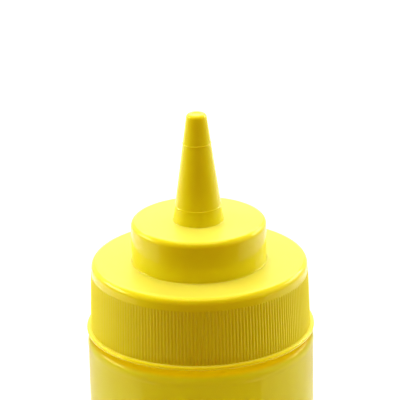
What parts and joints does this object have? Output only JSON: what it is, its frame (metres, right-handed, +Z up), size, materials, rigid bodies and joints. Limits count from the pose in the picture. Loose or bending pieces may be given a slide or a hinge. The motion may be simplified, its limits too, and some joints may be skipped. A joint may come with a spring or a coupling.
{
  "type": "plastic sauce bottle",
  "caption": "Round squeeze bottle for sauce, shut by a stepped cap with a finely ribbed skirt and a tall cone nozzle with an uncut tip.",
  "frame": {"origin": "centre of the bottle's standing face, on the surface that it stands on", "axes": "+Z up along the bottle's axis, from the base to the nozzle's tip"},
  "size_m": [0.0712, 0.0712, 0.2049],
  "materials": {
    "bottle": "satin yellow, blow-moulded",
    "cap": "glossy yellow, injection-moulded"
  },
  "bodies": {
    "root": {"bottle": "bottle", "cap": "cap"}
  },
  "joints": []
}
